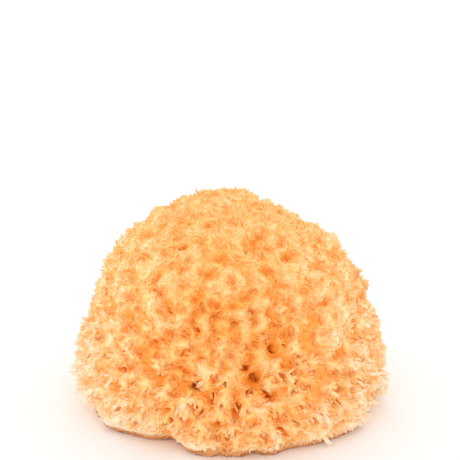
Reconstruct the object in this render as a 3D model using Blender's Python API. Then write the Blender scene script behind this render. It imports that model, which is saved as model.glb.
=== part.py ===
"""A natural wool sponge: one grown dome of tufts and pits, trimmed flat underneath so that it stands.

Metres, +Z up. The origin is at the middle of the cut base, and the sponge faces -Y.
"""

import math
import random

import bmesh
import bpy
from mathutils import Matrix, Vector, noise

MM = 0.001
SEED = 7

# The smooth form that the tips of the tufts reach
HEART_HEIGHT = 15 * MM  # the widest section lies here
CROWN_RISE = 92 * MM  # from the widest section up to the top
SKIRT_DROP = 48 * MM  # how far down the lower half would close if it weren't cut
CROWN_POWER = 1.85  # 2 is an ellipsoid, less is more pointed
# Radii of the widest section every 30 degrees, from the right side round by the back
PLAN_RADII = [r * MM for r in (78, 75, 70, 67, 70, 75, 78, 76, 68, 70, 70, 77)]
# Radii of the knife-cut base every 15 degrees, in the same order
BASE_RADII = [
    r * MM
    for r in (74, 72, 68, 64, 61, 59, 58, 59, 61, 64, 68, 71,
              74, 72, 68, 60, 51, 62, 67, 63, 60, 65, 70, 73)
]
LEAN = Vector((-0.05, 0.0))  # sideways travel of the sponge for each metre up

# Broad lumps and hollows: azimuth and elevation in degrees, half width in degrees, height
LUMPS = (
    (176, 57, 10, 4 * MM),  # left shoulder
    (120, 82, 12, 4 * MM),  # crown
    (60, 72, 10, 2.5 * MM),
    (18, 56, 9, 4 * MM),  # high right shoulder
    (5, 38, 16, 4 * MM),  # right shoulder
    (0, 14, 12, 2 * MM),
    (225, 30, 20, -3 * MM),  # flatter cheek at the front left
    (285, 12, 18, 2.5 * MM),  # fuller brow at the front
    (330, 34, 14, 2.5 * MM),
    (60, 30, 20, 3 * MM),
    (120, 20, 18, -3 * MM),
    (140, 55, 14, 3 * MM),
)
SWELL = 2.2 * MM  # low uneven swelling all over
SWELL_PITCH = 24 * MM

# Tufts
DOT_COUNT = 1380  # tips and pits on the whole ball, before the base is cut off
DOT_JITTER = 0.34  # share of the spacing
TIP_SPREAD = 1.5 * MM  # how unevenly the tips stand
WALL_SHARE = 0.38  # neighbouring tips joined by a raised wall
WALL_DROP = (1.0 * MM, 2.4 * MM)
VALLEY_DROP = (4.5 * MM, 7.5 * MM)
PIT_SHARE = 0.12
PIT_DEPTH = (6.0 * MM, 10.0 * MM)
# Large pores seen from the front: azimuth and elevation in degrees, depth
LARGE_PORES = (
    (272, 66, 10 * MM),
    (300, 60, 11 * MM),
    (282, 23, 11 * MM),
    (286, 14, 12 * MM),
    (274, 10, 12 * MM),
    (290, 6, 12 * MM),
    (258, 8, 9 * MM),
    (263, -2, 11 * MM),
    (284, -4, 12 * MM),
    (279, -12, 9 * MM),
    (252, 24, 9 * MM),
    (230, 12, 8 * MM),
    (322, 24, 9 * MM),
    (215, 40, 8 * MM),
)

# Base: a knife-cut chamfer round the foot and open canals in the cut
CHAMFER_HEIGHT = 13 * MM
CHAMFER_SPREAD = 10 * MM
BLOCK_RADIUS = 150 * MM
BLOCK_HEIGHT = 200 * MM
BLOCK_SIDES = 36
CANAL_COUNT = 40
CANAL_RADIUS = (2.0 * MM, 6.0 * MM)
CANAL_DEPTH = (6 * MM, 13 * MM)
CANAL_SIDES = 7
CANAL_REACH = 0.84  # canals stay within this share of the base's outline
CANAL_TAPER = 0.45
CANAL_TILT = 0.3  # radians to either side
CANAL_WOBBLE = 0.18  # share of the radius by which each corner is moved
CANAL_CLEARANCE = 1.3  # middles apart, in times the two radii
REST_PATCH = 9 * MM  # solid flat patch left round the origin

SPONGE_COLOUR = (0.93, 0.50, 0.17, 1.0)
SPONGE_ROUGHNESS = 0.95


def clear_scene():
    for obj in list(bpy.data.objects):
        bpy.data.objects.remove(obj)


def collection(name):
    made = bpy.data.collections.new(name)
    bpy.context.scene.collection.children.link(made)
    return made


def between(pair):
    low, high = pair
    return random.uniform(low, high)


def direction(azimuth, elevation):
    """Unit vector for an azimuth from +X and an elevation, both in degrees."""
    a = math.radians(azimuth)
    e = math.radians(elevation)
    return Vector((math.cos(a) * math.cos(e), math.sin(a) * math.cos(e), math.sin(e)))


def radius_at(radii, angle):
    """Smooth closed outline through radii that stand at equal angles."""
    place = (angle / math.tau % 1.0) * len(radii)
    low = int(place) % len(radii)
    blend = (1 - math.cos(math.pi * (place - int(place)))) / 2
    return radii[low] * (1 - blend) + radii[(low + 1) % len(radii)] * blend


def skin_radius(d):
    """Distance from the heart of the sponge to its smooth form, along unit vector d."""
    plan = radius_at(PLAN_RADII, math.atan2(d.y, d.x))
    rise = CROWN_RISE if d.z > 0 else SKIRT_DROP
    power = CROWN_POWER if d.z > 0 else 2.0
    level = (math.hypot(d.x, d.y) / plan) ** power + (abs(d.z) / rise) ** power
    radius = level ** (-1 / power)
    for azimuth, elevation, half_width, height in LUMPS:
        away = d.angle(direction(azimuth, elevation)) / math.radians(half_width)
        radius += height * math.exp(-away * away)
    return radius + SWELL * noise.noise(d * (radius / SWELL_PITCH))


def scattered_directions(count):
    """Evenly scattered unit vectors: a golden spiral, shaken so that no row shows."""
    golden = math.pi * (3 - math.sqrt(5))
    spacing = math.sqrt(4 * math.pi / count)
    found = []
    for i in range(count):
        z = 1 - (2 * i + 1) / count
        flat = math.sqrt(1 - z * z)
        d = Vector((flat * math.cos(i * golden), flat * math.sin(i * golden), z))
        shake = Vector(random.uniform(-1, 1) for _ in range(3))
        found.append((d + shake * spacing * DOT_JITTER).normalized())
    return found


def seeded_dots():
    """Pairs of a direction and its level: above zero a tip stands proud, below it is a pit."""
    dots = []
    for d in scattered_directions(DOT_COUNT):
        if random.random() < PIT_SHARE:
            level = -between(PIT_DEPTH)
        else:
            level = random.uniform(-TIP_SPREAD, TIP_SPREAD)
        dots.append([d, level])
    for azimuth, elevation, depth in LARGE_PORES:
        d = direction(azimuth, elevation)
        nearest = max(dots, key=lambda dot: dot[0].dot(d))
        nearest[:] = [d, -depth]
    return dots


def tufted_ball(target, material):
    """The grown form: tips joined by walls or valleys, with pits between them."""
    bm = bmesh.new()
    level = bm.verts.layers.float.new("level")
    for d, height in seeded_dots():
        bm.verts.new(d)[level] = height
    bmesh.ops.convex_hull(bm, input=bm.verts[:])
    tips = set(bm.verts)
    bmesh.ops.subdivide_edges(bm, edges=bm.edges[:], cuts=1, use_grid_fill=True)
    for vert in bm.verts:
        if vert not in tips and vert[level] > -TIP_SPREAD:
            wall = random.random() < WALL_SHARE
            vert[level] -= between(WALL_DROP if wall else VALLEY_DROP)
    for vert in bm.verts:
        d = vert.co.normalized()
        place = d * (skin_radius(d) + vert[level])
        place.xy += LEAN * place.z
        vert.co = place + Vector((0, 0, HEART_HEIGHT))
    bmesh.ops.triangulate(bm, faces=bm.faces[:])
    bmesh.ops.recalc_face_normals(bm, faces=bm.faces[:])
    return finished(bm, "sponge", target, material)


def finished(bm, name, target, material=None):
    mesh = bpy.data.meshes.new(name)
    bm.to_mesh(mesh)
    bm.free()
    if material:
        mesh.materials.append(material)
    obj = bpy.data.objects.new(name, mesh)
    target.objects.link(obj)
    return obj


def ring(bm, radii_at, z):
    """A closed ring of edges whose radius follows a function of the angle."""
    made = bmesh.ops.create_circle(bm, segments=BLOCK_SIDES, radius=1.0)["verts"]
    for vert in made:
        angle = math.atan2(vert.co.y, vert.co.x)
        radius = radii_at(angle)
        vert.co = Vector((math.cos(angle) * radius, math.sin(angle) * radius, z))
    return list({edge for vert in made for edge in vert.link_edges})


def trim_block(target):
    """All that the knife leaves: flat below, chamfered round the foot, and wide above it."""
    def foot(angle):
        return radius_at(BASE_RADII, angle)

    def lip(angle):
        return radius_at(BASE_RADII, angle) + CHAMFER_SPREAD

    def wide(_angle):
        return BLOCK_RADIUS

    bm = bmesh.new()
    levels = (
        (foot, 0.0),
        (lip, CHAMFER_HEIGHT),
        (wide, CHAMFER_HEIGHT + CHAMFER_SPREAD),
        (wide, BLOCK_HEIGHT),
    )
    rings = [ring(bm, radii_at, z) for radii_at, z in levels]
    for lower, upper in zip(rings, rings[1:]):
        bmesh.ops.bridge_loops(bm, edges=lower + upper)
    bmesh.ops.holes_fill(bm, edges=rings[0] + rings[-1])
    bmesh.ops.triangulate(bm, faces=bm.faces[:])
    bmesh.ops.recalc_face_normals(bm, faces=bm.faces[:])
    return as_cutter(finished(bm, "trim_block", target))


def canal_places():
    """Middles and radii of the canals in the cut base, kept clear of each other."""
    found = []
    while len(found) < CANAL_COUNT:
        angle = random.uniform(0, math.tau)
        reach = math.sqrt(random.random()) * CANAL_REACH * radius_at(BASE_RADII, angle)
        place = Vector((math.cos(angle), math.sin(angle), 0)) * reach
        radius = between(CANAL_RADIUS)
        if reach - radius < REST_PATCH:
            continue
        if all((place - p).length > CANAL_CLEARANCE * (radius + r) for p, r in found):
            found.append((place, radius))
    return found


def canals(target):
    """Tapered canals that open in the cut base, as one set of cutters."""
    bm = bmesh.new()
    for place, radius in canal_places():
        depth = between(CANAL_DEPTH)
        tilt = Matrix.Rotation(random.uniform(-CANAL_TILT, CANAL_TILT), 4, "X")
        turn = Matrix.Rotation(random.uniform(0, math.tau), 4, "Z")
        made = bmesh.ops.create_cone(
            bm,
            cap_ends=True,
            segments=CANAL_SIDES,
            radius1=radius,
            radius2=radius * CANAL_TAPER,
            depth=2 * depth,
            matrix=Matrix.Translation(place) @ turn @ tilt,
        )["verts"]
        for vert in made:
            wobble = Vector((random.uniform(-1, 1), random.uniform(-1, 1)))
            vert.co.xy += wobble * radius * CANAL_WOBBLE
    bmesh.ops.recalc_face_normals(bm, faces=bm.faces[:])
    return as_cutter(finished(bm, "canals", target))


def as_cutter(obj):
    obj.hide_render = True
    obj.display_type = "WIRE"
    return obj


def boolean(obj, name, operation, cutter):
    modifier = obj.modifiers.new(name, "BOOLEAN")
    modifier.operation = operation
    modifier.solver = "EXACT"
    modifier.object = cutter


def spongin():
    material = bpy.data.materials.new("spongin")
    material.use_nodes = True
    shader = material.node_tree.nodes["Principled BSDF"]
    shader.inputs["Base Color"].default_value = SPONGE_COLOUR
    shader.inputs["Roughness"].default_value = SPONGE_ROUGHNESS
    shader.inputs["Metallic"].default_value = 0.0
    material.diffuse_color = SPONGE_COLOUR
    return material


def main():
    clear_scene()
    random.seed(SEED)
    parts = collection("natural_sponge")
    cutters = collection("cutters")
    sponge = tufted_ball(parts, spongin())
    boolean(sponge, "trim", "INTERSECT", trim_block(cutters))
    boolean(sponge, "canals", "DIFFERENCE", canals(cutters))


main()
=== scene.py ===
# %% [markdown]
# # A natural wool sponge
# The real thing is the skeleton of a sea animal: one dome of soft orange fibre. Its skin is a
# maze of pits, and every wall between two pits ends in tufts, which split into fine teeth. The
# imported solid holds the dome, the large tufts, the pits and the cut base. This script dresses it.

import math

import bmesh
import bpy
import numpy as np
from mathutils import Matrix, Vector, noise
from mathutils.bvhtree import BVHTree
from mathutils.kdtree import KDTree


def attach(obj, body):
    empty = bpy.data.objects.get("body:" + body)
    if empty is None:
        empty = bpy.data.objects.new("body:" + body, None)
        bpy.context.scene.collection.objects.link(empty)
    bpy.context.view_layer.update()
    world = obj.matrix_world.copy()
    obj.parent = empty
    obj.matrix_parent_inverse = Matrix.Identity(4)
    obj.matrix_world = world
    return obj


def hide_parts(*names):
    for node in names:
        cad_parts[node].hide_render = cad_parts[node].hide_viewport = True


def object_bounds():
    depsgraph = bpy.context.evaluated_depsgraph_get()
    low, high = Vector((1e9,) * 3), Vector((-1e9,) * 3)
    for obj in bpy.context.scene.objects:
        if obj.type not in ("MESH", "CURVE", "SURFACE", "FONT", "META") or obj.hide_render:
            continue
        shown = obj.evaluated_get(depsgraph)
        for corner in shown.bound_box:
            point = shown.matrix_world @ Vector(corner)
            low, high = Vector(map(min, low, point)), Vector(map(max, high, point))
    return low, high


MM = 0.001
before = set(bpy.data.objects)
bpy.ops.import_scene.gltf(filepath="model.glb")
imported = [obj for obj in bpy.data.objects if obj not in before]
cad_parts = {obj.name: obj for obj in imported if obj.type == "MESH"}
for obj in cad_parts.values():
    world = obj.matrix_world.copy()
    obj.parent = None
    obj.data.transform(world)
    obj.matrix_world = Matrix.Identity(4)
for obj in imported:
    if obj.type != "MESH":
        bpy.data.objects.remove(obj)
cad_low, cad_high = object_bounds()
print("solid box in mm:", [round(side / MM, 1) for side in cad_high - cad_low])

# %% [markdown]
# ## Camera
# The photograph looks down on the sponge by about 21 degrees, and the sponge fills the lower part
# of the picture. The camera aims above the sponge, so that no lens shift is needed.

# %% Set the camera
VIEW_ELEVATION = math.radians(21.0)
VIEW_DISTANCE = 0.75  # metres
VIEW_TARGET = Vector((0.0, 0.0, 0.090))
VIEW_SPAN = 0.2213  # metres that the picture shows across, at the target
SENSOR = 36.0  # millimetres


def add_camera():
    back = Vector((0, -math.cos(VIEW_ELEVATION), math.sin(VIEW_ELEVATION)))
    camera = bpy.data.objects.new("camera", bpy.data.cameras.new("camera"))
    bpy.context.scene.collection.objects.link(camera)
    camera.location = VIEW_TARGET + back * VIEW_DISTANCE
    camera.rotation_mode = "QUATERNION"
    camera.rotation_quaternion = (-back).to_track_quat("-Z", "Y")
    camera.data.sensor_width = SENSOR
    camera.data.lens = SENSOR * VIEW_DISTANCE / VIEW_SPAN
    bpy.context.scene.camera = camera


add_camera()
print("lens in mm:", round(bpy.context.scene.camera.data.lens, 1))

# %% [markdown]
# ## An even body
# The solid's triangles are long in places, and fine relief needs short even faces. A voxel
# remesh gives them, also on the flat base. Subdivision would only split the long ones. A second,
# coarse and smoothed remesh is only a measuring surface: how far a point stands above or below
# it says tuft or pit.

# %% Make the even body and the measuring skin
BODY_VOXEL = 1.2 * MM
SKIN_VOXEL = 6.0 * MM
SKIN_SMOOTHING = 6  # passes
MERGE_DISTANCE = 0.01 * MM


def new_object(name, mesh):
    obj = bpy.data.objects.new(name, mesh)
    bpy.context.scene.collection.objects.link(obj)
    return obj


def clean_copy(node):
    """The node's mesh with its loose triangles joined. The node itself stays as it is."""
    bm = bmesh.new()
    bm.from_mesh(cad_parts[node].data)
    bmesh.ops.remove_doubles(bm, verts=bm.verts[:], dist=MERGE_DISTANCE)
    mesh = bpy.data.meshes.new("clean")
    bm.to_mesh(mesh)
    bm.free()
    return mesh


def remeshed(mesh, voxel):
    """The same closed form in even faces, one voxel wide."""
    obj = new_object("remesh_source", mesh)
    modifier = obj.modifiers.new("even", "REMESH")
    modifier.mode = "VOXEL"
    modifier.voxel_size = voxel
    graph = bpy.context.evaluated_depsgraph_get()
    made = bpy.data.meshes.new_from_object(obj.evaluated_get(graph))
    bpy.data.objects.remove(obj)
    return made


def smooth(bm):
    """One pass of smoothing over the whole mesh."""
    sides = {"use_axis_x": True, "use_axis_y": True, "use_axis_z": True}
    bmesh.ops.smooth_vert(bm, verts=bm.verts[:], factor=0.5, **sides)


solid = clean_copy("sponge")
body = bmesh.new()
body.from_mesh(remeshed(solid, BODY_VOXEL))
skin = bmesh.new()
skin.from_mesh(remeshed(solid, SKIN_VOXEL))
for _ in range(SKIN_SMOOTHING):
    smooth(skin)
skin_tree = BVHTree.FromBMesh(skin)
print("body faces:", len(body.faces), "skin faces:", len(skin.faces))

# %% [markdown]
# ## Relief
# Every finish and every tuft needs to know how deep a point lies. `relief_at` gives the height
# above the measuring skin, and the outward direction there. `relief_shares` turns heights into the
# numbers that the colour reads. It also paints light and shade by place: the sides and the foot
# are painted paler, as painted light, the middle of the front deeper, as painted shade, and at the
# crown the numbers are drawn together, so that its painted shade differs least.

# %% Measure the relief
RELIEF_RANGE = (-7.0 * MM, 3.4 * MM)  # from a hollow's floor to a tuft's tip
# Painted shade deepens the middle of the front, and painted light makes the flanks and the foot
# paler. At the crown the painted shade is drawn together.
FRONT_WIDTH = 45 * MM  # the middle of the front fades out over this width
FRONT_DEPTH = 40 * MM  # and is full from here forward
FRONT_SHADE = 0.14  # how much deeper it is
FLANK_LIGHT_SHARE = 0.95  # the share that the flanks are drawn towards
FLANK_LIGHT_CALM = 0.55  # and how far
CROWN_SHARE = 0.59  # likewise for the crown
CROWN_CALM = 0.72
FOOT_LIGHT = 0.12  # how much paler the foot is
FOOT_HEIGHT = 35 * MM
SHOWN_PERCENTILES = (1, 5, 50, 95, 99)


def relief_at(point):
    """Height of a point above the measuring skin, and the direction outward."""
    place, normal, _, _ = skin_tree.find_nearest(point)
    return (point - place).dot(normal), normal


def relief_shares(heights, points):
    """0 on a hollow's floor to 1 at a tip, changed by where on the sponge the point lies."""
    low, high = RELIEF_RANGE
    x, y, z = np.array(points).T
    # Painted shade in the middle of the front, painted light on the flanks and the foot.
    middle = np.exp(-((x / FRONT_WIDTH) ** 2)) * np.clip(-y / FRONT_DEPTH, 0, 1)
    shares = (np.array(heights) - low) / (high - low)
    crown = np.clip(z / cad_high[2], 0, 1) ** 2
    shares += (CROWN_SHARE - shares) * CROWN_CALM * crown - FRONT_SHADE * middle
    flank = (1 - crown) * np.clip(abs(x) / cad_high[0], 0, 1) ** 2
    shares += (FLANK_LIGHT_SHARE - shares) * FLANK_LIGHT_CALM * flank
    shares += FOOT_LIGHT * np.clip(1 - z / FOOT_HEIGHT, 0, 1)
    return np.clip(shares, 0, 1)


reliefs = np.percentile([relief_at(v.co)[0] for v in body.verts], SHOWN_PERCENTILES) / MM
print("relief in mm at", SHOWN_PERCENTILES, "percent:", np.round(reliefs, 2))

# %% [markdown]
# ## Wells and felt
# Between the tufts the real sponge has smooth hollows with torn rims, the mouths of its canals.
# They could be cut one by one, but there are hundreds. Two cell patterns sink such wells into the
# body instead, deep close ones at the skirt and wider shallow ones at the crown. A slow drift of
# the pattern tears their rims, and towards the sides the wells are drawn out. A fractal noise
# takes away what is left of the flat faces, and small pores pit the cut.

# %% Shape the body
CROWN_HEIGHTS = (38 * MM, 80 * MM)  # from here to there the skirt's forms turn into the crown's
BODY_SINK = (0.5 * MM, -0.7 * MM)  # at the skirt and at the crown, as in each pair below
CREST_KEPT = 0.85  # share of a wall's height that stays on the body
HOLLOW_GROWTH = 1.15
SKIRT_WELLS = {"pitch": 8.5 * MM, "radius": 3.0 * MM, "depth": 4.8 * MM, "wall": 0.45}
CROWN_WELLS = {"pitch": 11 * MM, "radius": 3.3 * MM, "depth": 3.7 * MM, "wall": 0.65}
WELL_UNEVENNESS = 0.35  # how much the wells differ in size
WELL_KEY = 10  # turns a cell's middle into the place where its random number is read
STRETCH = 0.3  # how much wider they are at the sides
TEAR_PITCH = 4.5 * MM
TEAR = 2.6 * MM  # how far a rim is torn out of place
FELT_PITCH = 3.4 * MM
FELT_HEIGHT = 0.7 * MM
FELT_GRAIN = (0.6, 2.2, 2)  # the fractal's roughness, step between octaves, and octaves
PORE_PITCH = 3.4 * MM
PORE_DEPTH = 1.9 * MM
PORE_WALL = 0.25
PORE_STEEPNESS = 1.6
CUT_NORMAL = -0.8  # faces that look down more than this were cut by the knife
CUT_TOP = 13 * MM
CUT_FELT = 0.4  # share of the felt's height on the cut
SOFTENING = 2  # passes
DRIFT_SHIFTS = (Vector((9.3, -1.5, 4.2)), Vector((-3.7, 6.1, 2.9)), Vector((5.4, 2.7, -8.6)))


def clamp(share):
    return min(1.0, max(0.0, share))


def pore(point, pitch):
    """1 in the middle of a cell, 0 at its walls."""
    near, next_near = noise.voronoi(point / pitch)[0][:2]
    return clamp((next_near - near) * PORE_STEEPNESS - PORE_WALL)


def drift(point):
    """A smooth random vector: one noise, read at three places far apart."""
    return Vector([noise.noise(point + shift) for shift in DRIFT_SHIFTS])


def crown_share(height):
    """0 at the skirt, 1 at the crown."""
    low, high = CROWN_HEIGHTS
    return clamp((height - low) / (high - low))


def graded(pair, height):
    """A value that has the first number at the skirt and the second at the crown."""
    return pair[0] + (pair[1] - pair[0]) * crown_share(height)


def well(point, pitch, radius, depth, wall):
    """Depth of the well at a point: full in the middle of some cells, 0 outside the torn rim."""
    torn = point + TEAR * drift(point / TEAR_PITCH)
    torn.x *= 1 - STRETCH * abs(point.x) / cad_high[0]
    distances, middles = noise.voronoi(torn / pitch)
    size = radius * (1 + WELL_UNEVENNESS * noise.cell(middles[0] * WELL_KEY))
    share = clamp((1 - distances[0] * pitch / size) / wall)
    return depth * share * share * (3 - 2 * share)


def shape_body():
    for _ in range(SOFTENING):
        smooth(body)
    body.normal_update()
    for vert in body.verts:
        height, out = relief_at(vert.co)
        felt = FELT_HEIGHT * noise.fractal(vert.co / FELT_PITCH, *FELT_GRAIN)
        if vert.normal.z < CUT_NORMAL:
            vert.co += vert.normal * (CUT_FELT * felt - PORE_DEPTH * pore(vert.co, PORE_PITCH))
        else:
            kept = CREST_KEPT if height > 0 else HOLLOW_GROWTH
            crown = crown_share(vert.co.z)
            sink = (1 - crown) * well(vert.co, **SKIRT_WELLS) + crown * well(vert.co, **CROWN_WELLS)
            sink = (sink + graded(BODY_SINK, vert.co.z)) * clamp(vert.co.z / CUT_TOP)
            vert.co += out * (height * (kept - 1) - sink) + vert.normal * felt
        vert.co.z = max(vert.co.z, 0.0)
    body.normal_update()


shape_body()
heights = [vert.co.z / MM for vert in body.verts]
print("body from", round(min(heights), 1), "to", round(max(heights), 1), "mm above the ground")

# %% [markdown]
# ## The body as a piece
# The colour of the sponge carries painted shade that depends on depth, and the knife cut's band
# a painted brown shade that depends on height. Neither can be read from a pattern in space, so
# both are written on the mesh as attributes, one number for each point, which the material reads.

# %% Turn the body into a piece
RELIEF = "relief"
CUT = "cut"
CUT_EDGE = (2.5 * MM, 5.0 * MM)  # the painted brown shade of the cut band fades out from here to there


def write_shares(mesh, name, shares):
    values = np.clip(shares, 0, 1).astype(np.float32)
    mesh.attributes.new(name, "FLOAT", "POINT").data.foreach_set("value", values)


def finish_body():
    mesh = bpy.data.meshes.new("sponge_body")
    body.to_mesh(mesh)
    points = [vert.co for vert in body.verts]
    write_shares(mesh, RELIEF, relief_shares([relief_at(point)[0] for point in points], points))
    write_shares(mesh, CUT, (CUT_EDGE[1] - np.array(points)[:, 2]) / (CUT_EDGE[1] - CUT_EDGE[0]))
    mesh.shade_smooth()
    return new_object("sponge_body", mesh)


sponge_body = finish_body()
print("body triangles:", sum(len(p.vertices) - 2 for p in sponge_body.data.polygons))

# %% [markdown]
# ## A brush of felt
# A tuft is made of small felted brushes: one solid stem, which widens and then frays into fingers.
# Hair curves would show single fibres, but real tufts are matted and need thickness. So a brush
# starts as a narrow grid, its cross-section. The grid is extruded upward as one region, and then
# each of its top faces is extruded on its own and tapered, which gives the fingers. The skirt
# has broad feathers, and the crown mostly thin wisps.

# %% Model the brushes
BRUSH_KINDS = 14  # different shapes of each kind
# Faces across, from and to; rows of faces; stem's share of the length and how much it widens;
# and the fingers' share of the length, from and to
FEATHER = {"wide": (3, 5), "deep": 2, "stem": 0.60, "spread": 1.30, "fingers": (0.16, 0.40)}
WISP = {"wide": (2, 3), "deep": 1, "stem": 0.60, "spread": 1.20, "fingers": (0.20, 0.45)}
BASE_WIDTH = 0.72
BASE_DEPTH = 0.13  # for each row of faces
ROUNDING = 0.3  # how much the corners of the cross-section are pulled in
SIDE_CURL = 0.15
FORWARD_CURL = 0.35
FINGER_CURL = 0.5  # share of the forward curl that the fingers add
FINGER_TIP = (0.42, 0.42, 1)
FINGER_SPLAY = 0.8
STEM_SHAKE = 0.03
FINGER_SHAKE = 0.05
SEED = 11
rng = np.random.default_rng(SEED)


def lift(bm, faces, step, thin):
    """Moves faces by a step and scales them about their own middle."""
    verts = list(dict.fromkeys(vert for face in faces for vert in face.verts))
    centre = sum((vert.co for vert in verts), Vector()) / len(verts)
    bmesh.ops.scale(bm, verts=verts, vec=thin, space=Matrix.Translation(-centre))
    bmesh.ops.translate(bm, verts=verts, vec=step)


def jitter(size):
    """A random step, up to this size along each axis."""
    return Vector(rng.uniform(-size, size, 3))


def in_order(faces):
    """The triangles sorted, each from its lowest corner on. Each run would list them differently."""
    return np.array(sorted(np.roll(face, -int(np.argmin(face))).tolist() for face in faces))


def brush(wide, deep, stem, spread, fingers):
    """Points and triangles of a brush, about 1 long and 1 wide."""
    bm = bmesh.new()
    segments = int(rng.integers(wide[0], wide[1] + 1))
    bmesh.ops.create_grid(bm, x_segments=segments, y_segments=deep, size=0.5)
    for vert in bm.verts:
        x, y = 2 * vert.co.x, 2 * vert.co.y
        vert.co.x *= BASE_WIDTH * (1 - ROUNDING * y * y * (deep > 1))
        vert.co.y *= BASE_DEPTH * deep * (1 - ROUNDING * x * x)
    curl = Vector((rng.uniform(-SIDE_CURL, SIDE_CURL), rng.uniform(0.0, FORWARD_CURL), 1))
    grown = bmesh.ops.extrude_face_region(bm, geom=bm.faces[:])["geom"]
    top = [face for face in grown if isinstance(face, bmesh.types.BMFace)]
    lift(bm, top, curl * stem + jitter(STEM_SHAKE), (spread, spread, 1))
    for face in bmesh.ops.extrude_discrete_faces(bm, faces=top)["faces"]:
        side = face.calc_center_median()
        way = Vector((side.x * FINGER_SPLAY, side.y * FINGER_SPLAY + curl.y * FINGER_CURL, 1))
        lift(bm, [face], way * rng.uniform(*fingers) + jitter(FINGER_SHAKE), FINGER_TIP)
    bmesh.ops.recalc_face_normals(bm, faces=bm.faces[:])
    bmesh.ops.triangulate(bm, faces=bm.faces[:])
    bm.verts.ensure_lookup_table()
    points = np.array([v.co for v in bm.verts])
    faces = in_order([[v.index for v in f.verts] for f in bm.faces])
    bm.free()
    return points, faces


brushes = {
    "feather": [brush(**FEATHER) for _ in range(BRUSH_KINDS)],
    "wisp": [brush(**WISP) for _ in range(BRUSH_KINDS)],
}
print("triangles in a brush:", sorted({len(faces) for kind in brushes.values() for _, faces in kind}))

# %% [markdown]
# ## Heads of the tufts
# Wet fibres cling together, and dry as tufts. The highest points of the relief, one tuft apart,
# are taken as the heads of the tufts. A tree of them then tells each brush quickly which head
# is the nearest.

# %% Find the heads of the tufts
HEAD_SPACING = 6.6 * MM
CROWN_GROWTH = 0.55  # how much larger tufts are at the crown
LOWEST_ROOT = 2.5 * MM


def growth(height):
    """How much larger tufts are at this height than at the skirt."""
    return 1 + CROWN_GROWTH * crown_share(height)


def far_enough(place, taken, spacing, cell_size):
    """True if no place within one spacing is taken. The places are kept in cells to make it quick."""
    cell = tuple(int(math.floor(c / cell_size)) for c in place)
    for dx in (-1, 0, 1):
        for dy in (-1, 0, 1):
            for dz in (-1, 0, 1):
                for other in taken.get((cell[0] + dx, cell[1] + dy, cell[2] + dz), ()):
                    if (other - place).length < spacing:
                        return False
    taken.setdefault(cell, []).append(place)
    return True


def head_centres():
    """The highest points of the relief that are one spacing apart."""
    taken = {}
    centres = []
    cell = HEAD_SPACING * (1 + CROWN_GROWTH)
    for vert in sorted(body.verts, key=lambda vert: -relief_at(vert.co)[0]):
        spacing = HEAD_SPACING * growth(vert.co.z)
        if vert.co.z > LOWEST_ROOT and far_enough(vert.co.copy(), taken, spacing, cell):
            centres.append(vert.co.copy())
    return centres


body.verts.ensure_lookup_table()
centres = head_centres()
heads = KDTree(len(centres))
for i, centre in enumerate(centres):
    heads.insert(centre, i)
heads.balance()
print("heads:", len(centres))

# %% [markdown]
# ## How a brush leans
# Brushes splay outward from the head of their tuft, so that neighbours read as one tuft, and on a
# rim they lean over the hollow. The skirt's tufts droop and flow to the sides, and the crown's
# stand up. Each lean is a small push that is added to the outward direction, so that they can be
# judged and changed one by one.

# %% Aim a brush
HEAD_RADIUS = 3.3 * MM
SPLAY = (0.35, 0.4)  # lean away from the tuft's head, at the skirt and at the crown
RIM_LEAN = (0.9, 0.2)  # lean over the hollow
RIM_FACING = 0.8  # how much a brush on a rim turns its broad side to the hollow
FLOW = (1.2, 0.35)  # lean away from the middle plane
CROWN_RISE = 0.7  # lean upward
LEAN = 0.30  # a lean that neighbours share, over this distance:
LEAN_PITCH = 14 * MM
SHAKE = 0.12  # and one that each brush has alone
DROOP_HEIGHT = 65 * MM  # brushes droop below this
DROOP = 0.9
TIP_GAP = 0.9 * MM  # how far tips stay above the ground, or above the trimmed rim
# Where the foot was trimmed bare: from and to, in degrees round the base, and how high
TRIMMED = ((188, 256, 6 * MM), (256, 302, 4 * MM))


def bare_height(point):
    """Below this height the foot is bare at this angle round the base."""
    angle = math.degrees(math.atan2(point.y, point.x)) % 360
    return max([top for start, end, top in TRIMMED if start < angle < end] + [0.0])


def brush_axes(vert, out, reach):
    """Width, thickness and length axes of the brush that roots at a point of the body."""
    head = heads.find(vert.co)[0]
    away = (vert.co - head) / (HEAD_RADIUS * growth(vert.co.z))
    away -= out * away.dot(out)
    slope = vert.normal - out * vert.normal.dot(out)
    up = out + graded(SPLAY, vert.co.z) * away + graded(RIM_LEAN, vert.co.z) * slope
    up += LEAN * drift(vert.co / LEAN_PITCH) + jitter(SHAKE)
    up.x += graded(FLOW, vert.co.z) * vert.co.x / cad_high[0]
    up.z += CROWN_RISE * crown_share(vert.co.z) - DROOP * max(0.0, 1 - vert.co.z / DROOP_HEIGHT)
    up.normalize()
    floor = bare_height(vert.co) + TIP_GAP
    up.z = max(up.z, (floor - vert.co.z) / reach)
    face = away + RIM_FACING * slope + jitter(SHAKE)
    along = face.cross(up).normalized()
    return along, up.cross(along), up


print("degrees of the rim that are bare:", sum(end - start for start, end, _ in TRIMMED))

# %% [markdown]
# ## Where brushes stand
# Brushes root on the high ground and round the rims of the wells, never on a floor or on the
# knife cut. Points of the body are tried in random order, and one is kept if no other brush
# stands too near. A length is cut back where the brush would stand too far out of the solid,
# which keeps the outline.

# %% Choose the places
SPACING = (1.85 * MM, 1.25 * MM)  # between brushes
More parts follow.
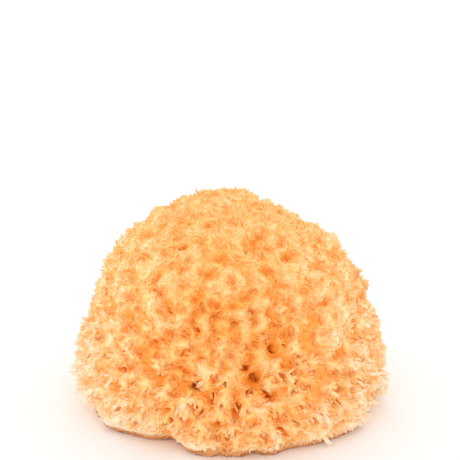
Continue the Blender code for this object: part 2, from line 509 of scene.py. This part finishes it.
# Narrowest and widest, then shortest and longest above the body
WIDTH = {"feather": (2.0 * MM, 3.3 * MM), "wisp": (1.3 * MM, 2.3 * MM)}
SKIRT_REACH = {"feather": (2.2 * MM, 5.4 * MM), "wisp": (1.0 * MM, 2.6 * MM)}
CROWN_REACH = {"feather": (1.0 * MM, 2.6 * MM), "wisp": (0.8 * MM, 2.1 * MM)}
WISP_SHARE = (0.2, 0.95)  # of the brushes
STEM = {"feather": 2.2 * MM, "wisp": 1.4 * MM}  # hidden in the body
LOWEST_RELIEF = (-3.0 * MM, -2.2 * MM)  # no brush roots deeper
STEEPEST = 0.85  # sideways share of the normal on a well's wall
MOST_PROUD = (1.5 * MM, 1.6 * MM)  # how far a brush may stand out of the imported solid
REACH_STEP = 0.4 * MM
FOOT = 20 * MM  # below about this the brushes come out less, to keep the foot's outline
FOOT_PROUD = 0.2  # share of it that is left at the ground
solid_points = [vert.co for vert in solid.vertices]
solid_tree = BVHTree.FromPolygons(solid_points, [face.vertices for face in solid.polygons])


def proud(point):
    """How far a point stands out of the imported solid."""
    place, normal, _, _ = solid_tree.find_nearest(point)
    return (point - place).dot(normal)


def bare(vert):
    """True on the knife cut and on the trimmed rim."""
    if vert.normal.z < CUT_NORMAL and vert.co.z < CUT_TOP:
        return True
    return vert.co.z < max(LOWEST_ROOT, bare_height(vert.co))


def brush_rows():
    """For each brush: its kind, root, axes, width, length and the relief of the ground there."""
    taken = {}
    found = []
    for i in rng.permutation(len(body.verts)):
        vert = body.verts[int(i)]
        height, out = relief_at(vert.co)
        steep = (vert.normal - out * vert.normal.dot(out)).length
        if height < graded(LOWEST_RELIEF, vert.co.z) or steep > STEEPEST or bare(vert):
            continue
        if not far_enough(vert.co.copy(), taken, graded(SPACING, vert.co.z), SPACING[0]):
            continue
        kind = "wisp" if rng.random() < graded(WISP_SHARE, vert.co.z) else "feather"
        ends = (rng.uniform(*SKIRT_REACH[kind]), rng.uniform(*CROWN_REACH[kind]))
        reach = graded(ends, vert.co.z)
        along, face, up = brush_axes(vert, out, reach)
        most = graded(MOST_PROUD, vert.co.z) * clamp(FOOT_PROUD + vert.co.z / FOOT)
        while proud(vert.co + up * reach) > most and reach > 0:
            reach -= REACH_STEP
        length = reach + STEM[kind]
        width = rng.uniform(*WIDTH[kind])
        root = vert.co - up * STEM[kind]
        found.append((kind, root, along, face, up, width, length, height))
    return found


places = brush_rows()
print("brushes:", len(places))

# %% [markdown]
# ## Tufts as pieces
# Thousands of objects would be slow to handle, so copies of the brushes are joined into six
# meshes, one for each sixth of the sponge. Each keeps the relief of the ground where it roots,
# is painted darker at its root as painted shade, and paler towards its tips as painted light.

# %% Join the brushes into six pieces
# Painted shade at each brush's root, and painted light towards its tips.
ROOT_SHADE = -0.10
RISE_LIGHT = (0.09 / MM, 0.05 / MM)  # painted light: a brush is painted paler from its root to its tips
MOST_RISE = 3.2 * MM  # and from here on no paler
LEAST_TONE = 0.36  # above the tone where pits begin
SHARP_ANGLE = math.radians(60)
SECTORS = ("right", "back_right", "back_left", "left", "front_left", "front_right")
SECTOR = 360 / len(SECTORS)  # degrees


def sector_of(root):
    """Which sixth of the sponge a root lies in."""
    angle = math.degrees(math.atan2(root.y, root.x)) + SECTOR / 2
    return SECTORS[int(angle % 360 // SECTOR)]


def joined(name, rows):
    """One mesh from copies of the brushes, each turned, stretched and moved to its place."""
    points, faces, heights, rises = [], [], [], []
    start = 0
    for kind, root, along, face, up, width, length, height in rows:
        shape, triangles = brushes[kind][int(rng.integers(BRUSH_KINDS))]
        turn = np.array([along * width, face * width, up * length])
        points.append(shape @ turn + np.array(root))
        faces.append(triangles + start)
        heights.append(np.full(len(shape), height))
        rise = np.minimum(shape[:, 2] * length - STEM[kind], MOST_RISE)
        rises.append(rise * graded(RISE_LIGHT, root.z))
        start += len(shape)
    mesh = bpy.data.meshes.new(name)
    mesh.from_pydata(np.concatenate(points), [], np.concatenate(faces))
    shares = relief_shares(np.concatenate(heights), np.concatenate(points))
    # Painted shade at the root and painted light towards the tips.
    shares += ROOT_SHADE + np.concatenate(rises)
    write_shares(mesh, RELIEF, np.maximum(shares, LEAST_TONE))
    mesh.shade_smooth()
    mesh.set_sharp_from_angle(angle=SHARP_ANGLE)
    print(name, "triangles:", len(mesh.polygons))
    return new_object(name, mesh)


tufts = []
for sector in SECTORS:
    tufts.append(joined("tufts_" + sector, [row for row in places if sector_of(row[1]) == sector]))

# %% [markdown]
# ## The finish
# Spongin is a pale horn-like fibre. Light that enters a hollow is reflected many times, and each
# time it loses blue, so hollows turn orange and tips stay cream. Rendered light does some of
# this, but not enough in so few bounces, so the colour also reads the relief that each mesh
# carries. A few helpers keep the wiring of the nodes short.

# %% Start the material
spongin_material = bpy.data.materials.new("spongin")
spongin_material.use_nodes = True
nodes = spongin_material.node_tree.nodes
links = spongin_material.node_tree.links
shader = nodes["Principled BSDF"]


def node(kind, **settings):
    """A new node. Settings are its properties, or its inputs where the name starts with a capital."""
    made = nodes.new("ShaderNode" + kind)
    for name, value in settings.items():
        if name[0].isupper():
            made.inputs[name].default_value = value
        else:
            setattr(made, name, value)
    return made


def texture(kind, where, **settings):
    """The outputs of a pattern, read at a place."""
    made = node(kind, **settings)
    links.new(where, made.inputs["Vector"])
    return made.outputs


def map_range(source, ends, values):
    """A source value, carried from one range of numbers to another and clamped."""
    made = node("MapRange")
    for slot, number in zip(("From Min", "From Max", "To Min", "To Max"), (*ends, *values)):
        made.inputs[slot].default_value = number
    links.new(source, made.inputs["Value"])
    return made.outputs["Result"]


def combined(operation, first, second):
    """Two values, added or multiplied."""
    made = node("Math", operation=operation)
    links.new(first, made.inputs[0])
    links.new(second, made.inputs[1])
    return made.outputs[0]


def mixed(factor, first, second):
    """Two colours mixed by a factor. The second is a constant."""
    made = node("Mix", data_type="RGBA")
    links.new(factor, made.inputs["Factor"])
    links.new(first, made.inputs["A"])
    made.inputs["B"].default_value = (*second, 1)
    return made.outputs["Result"]


position = node("TexCoord").outputs["Object"]
relief = node("Attribute", attribute_name=RELIEF).outputs["Fac"]
cut = node("Attribute", attribute_name=CUT).outputs["Fac"]
print("attributes that the material reads:", RELIEF, CUT)

# %% [markdown]
# ### Fibre
# A ramp turns the relief into colour, from orange floors to cream tips. Its stops are easier to
# judge against a photograph than a formula. Clouds of noise shift the tone a little, which keeps
# it from looking painted.

# %% Colour the fibre
# The low stops are painted shade on the hollows' floors.
STOPS = (  # place on the ramp, and colour
    (0.02, (0.56, 0.14, 0.008)),
    (0.18, (0.91, 0.33, 0.034)),
    (0.40, (0.96, 0.51, 0.125)),
    (0.70, (0.96, 0.67, 0.315)),
    (1.00, (0.96, 0.85, 0.680)),
)
CLOUD = {"Scale": 150, "Detail": 3}
CLOUD_TONE = (-0.15, 0.15)


def colour_ramp(value, stops):
    """The colour that a ramp with these stops gives to a value."""
    ramp = node("ValToRGB")
    while len(ramp.color_ramp.elements) < len(stops):
        ramp.color_ramp.elements.new(0.5)
    for element, (place, colour) in zip(ramp.color_ramp.elements, stops):
        element.position = place
        element.color = (*colour, 1.0)
    links.new(value, ramp.inputs["Fac"])
    return ramp.outputs["Color"]


cloud = map_range(texture("TexNoise", position, **CLOUD)["Fac"], (0, 1), CLOUD_TONE)
fibre = colour_ramp(combined("ADD", relief, cloud), STOPS)
print("colours on the ramp:", len(STOPS))

# %% [markdown]
# ### Pits
# The deepest hollows hold small pits, where canals go in, and the shade in them is painted dark.
# They are the middles of a cell pattern, and a noise tears their edges. Modelled, they would need
# a much finer mesh.

# %% Paint shade into the pits
PIT_SHADE_COLOUR = (0.32, 0.045, 0.003)
PIT_SCALE = 160
PIT_RELIEF = (0.34, 0.24)  # pits begin below the first share, and are full below the second
PIT_RADIUS = (0.32, 0.20)  # likewise for the distance from a pit's middle
TEAR_SCALE = 350
PIT_TEAR = (6 * MM, 6 * MM, 6 * MM)

# The tearing noise has no place linked to it, so it spans each piece's own box.
torn = node("VectorMath", operation="MULTIPLY_ADD")
torn.inputs[1].default_value = PIT_TEAR
links.new(node("TexNoise", Scale=TEAR_SCALE).outputs["Color"], torn.inputs[0])
links.new(position, torn.inputs[2])
distance = texture("TexVoronoi", torn.outputs[0], Scale=PIT_SCALE)["Distance"]
deep = map_range(relief, PIT_RELIEF, (0, 1))
near = map_range(distance, PIT_RADIUS, (0, 1))
# Painted shade: the pits' dark colour stands in for the shade inside the canals.
pit_shaded = mixed(combined("MULTIPLY", deep, near), fibre, PIT_SHADE_COLOUR)
print("pits about", round(1 / PIT_SCALE / MM, 1), "mm apart")

# %% [markdown]
# ### Cut and felt
# The band of the knife cut near the ground is painted a tan-brown shade, with darker painted shade
# in its pores. A faint bump is the felt that is too fine to model.
# Dry fibre scatters light, so it is rough and hardly shines.

# %% Paint shade on the cut and raise the felt
CUT_SHADE_COLOUR = (0.74, 0.36, 0.145)
CUT_PORE_SHADE_COLOUR = (0.42, 0.16, 0.05)
CUT_GRAIN = {"Scale": 700, "Detail": 2}
CUT_PORES = (0.50, 0.62)  # the grain's values where a pore begins and is full
FELT = {"Scale": 900, "Detail": 3}
BUMP = {"Strength": 0.2, "Distance": 0.4 * MM}
ROUGHNESS = 0.95
SHINE = 0.1

grain = texture("TexNoise", position, **CUT_GRAIN)["Fac"]
# Painted shade: the cut's band near the ground and its pores are painted darker brown.
cut_pore_shade = combined("MULTIPLY", cut, map_range(grain, CUT_PORES, (0, 1)))
colour = mixed(cut_pore_shade, mixed(cut, pit_shaded, CUT_SHADE_COLOUR), CUT_PORE_SHADE_COLOUR)
links.new(colour, shader.inputs["Base Color"])
bump = node("Bump", **BUMP)
links.new(texture("TexNoise", position, **FELT)["Fac"], bump.inputs["Height"])
links.new(bump.outputs["Normal"], shader.inputs["Normal"])
shader.inputs["Roughness"].default_value = ROUGHNESS
shader.inputs["Specular IOR Level"].default_value = SHINE
print("nodes in the material:", len(nodes))

# %% [markdown]
# ### Pieces of the part
# All seven pieces are spongin and move with the one body of the part. The dressed body stands in
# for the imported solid, and the tufts are added to it.

# %% Give the pieces their material and their body
for piece in (sponge_body, *tufts):
    piece.data.materials.append(spongin_material)
    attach(piece, "root")
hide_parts("sponge")
print("pieces:", [piece.name for piece in (sponge_body, *tufts)])

# %% [markdown]
# ## Studio
# The photograph has a white ground and even light from all sides, as a light tent gives. A bright
# white world does most of it, and three large soft lights round it add a little form. Much light
# reaches the hollows only after many bounces, so more of them are allowed than usual.

# %% Add the floor and the lights
FLOOR_REACH = 4.0  # metres to each side
FLOOR_COLOUR = (0.93, 0.93, 0.93, 1)
WORLD_STRENGTH = 1.08
SOFTBOX_SIZE = 0.9
SOFTBOX_AIM = Vector((0, 0, 0.05))
SOFTBOXES = (  # name, place and power
    ("key", (-0.3, -1.2, 0.3), 1.5),
    ("left", (-1.2, 0.2, 0.3), 3.5),
    ("right", (1.2, 0.2, 0.3), 3),
)
BOUNCES = 12


def add_floor():
    bm = bmesh.new()
    bmesh.ops.create_grid(bm, x_segments=1, y_segments=1, size=FLOOR_REACH)
    mesh = bpy.data.meshes.new("floor")
    bm.to_mesh(mesh)
    bm.free()
    floor = new_object("floor", mesh)
    material = bpy.data.materials.new("pale_floor")
    material.use_nodes = True
    shader = material.node_tree.nodes["Principled BSDF"]
    shader.inputs["Base Color"].default_value = FLOOR_COLOUR
    shader.inputs["Roughness"].default_value = 1.0
    mesh.materials.append(material)


def add_world():
    world = bpy.data.worlds.new("studio")
    bpy.context.scene.world = world
    world.use_nodes = True
    background = world.node_tree.nodes["Background"]
    background.inputs["Color"].default_value = (1, 1, 1, 1)
    background.inputs["Strength"].default_value = WORLD_STRENGTH


def add_softbox(name, place, power):
    light = bpy.data.lights.new(name, "AREA")
    light.shape = "DISK"
    light.size = SOFTBOX_SIZE
    light.energy = power
    obj = bpy.data.objects.new(name, light)
    bpy.context.scene.collection.objects.link(obj)
    obj.location = place
    aim = SOFTBOX_AIM - Vector(place)
    obj.rotation_mode = "QUATERNION"
    obj.rotation_quaternion = aim.to_track_quat("-Z", "Y")


add_floor()
add_world()
for softbox in SOFTBOXES:
    add_softbox(*softbox)
bpy.context.scene.view_settings.view_transform = "Standard"
bpy.context.scene.cycles.max_bounces = BOUNCES
bpy.context.scene.cycles.diffuse_bounces = BOUNCES
print("lights:", [name for name, _, _ in SOFTBOXES])
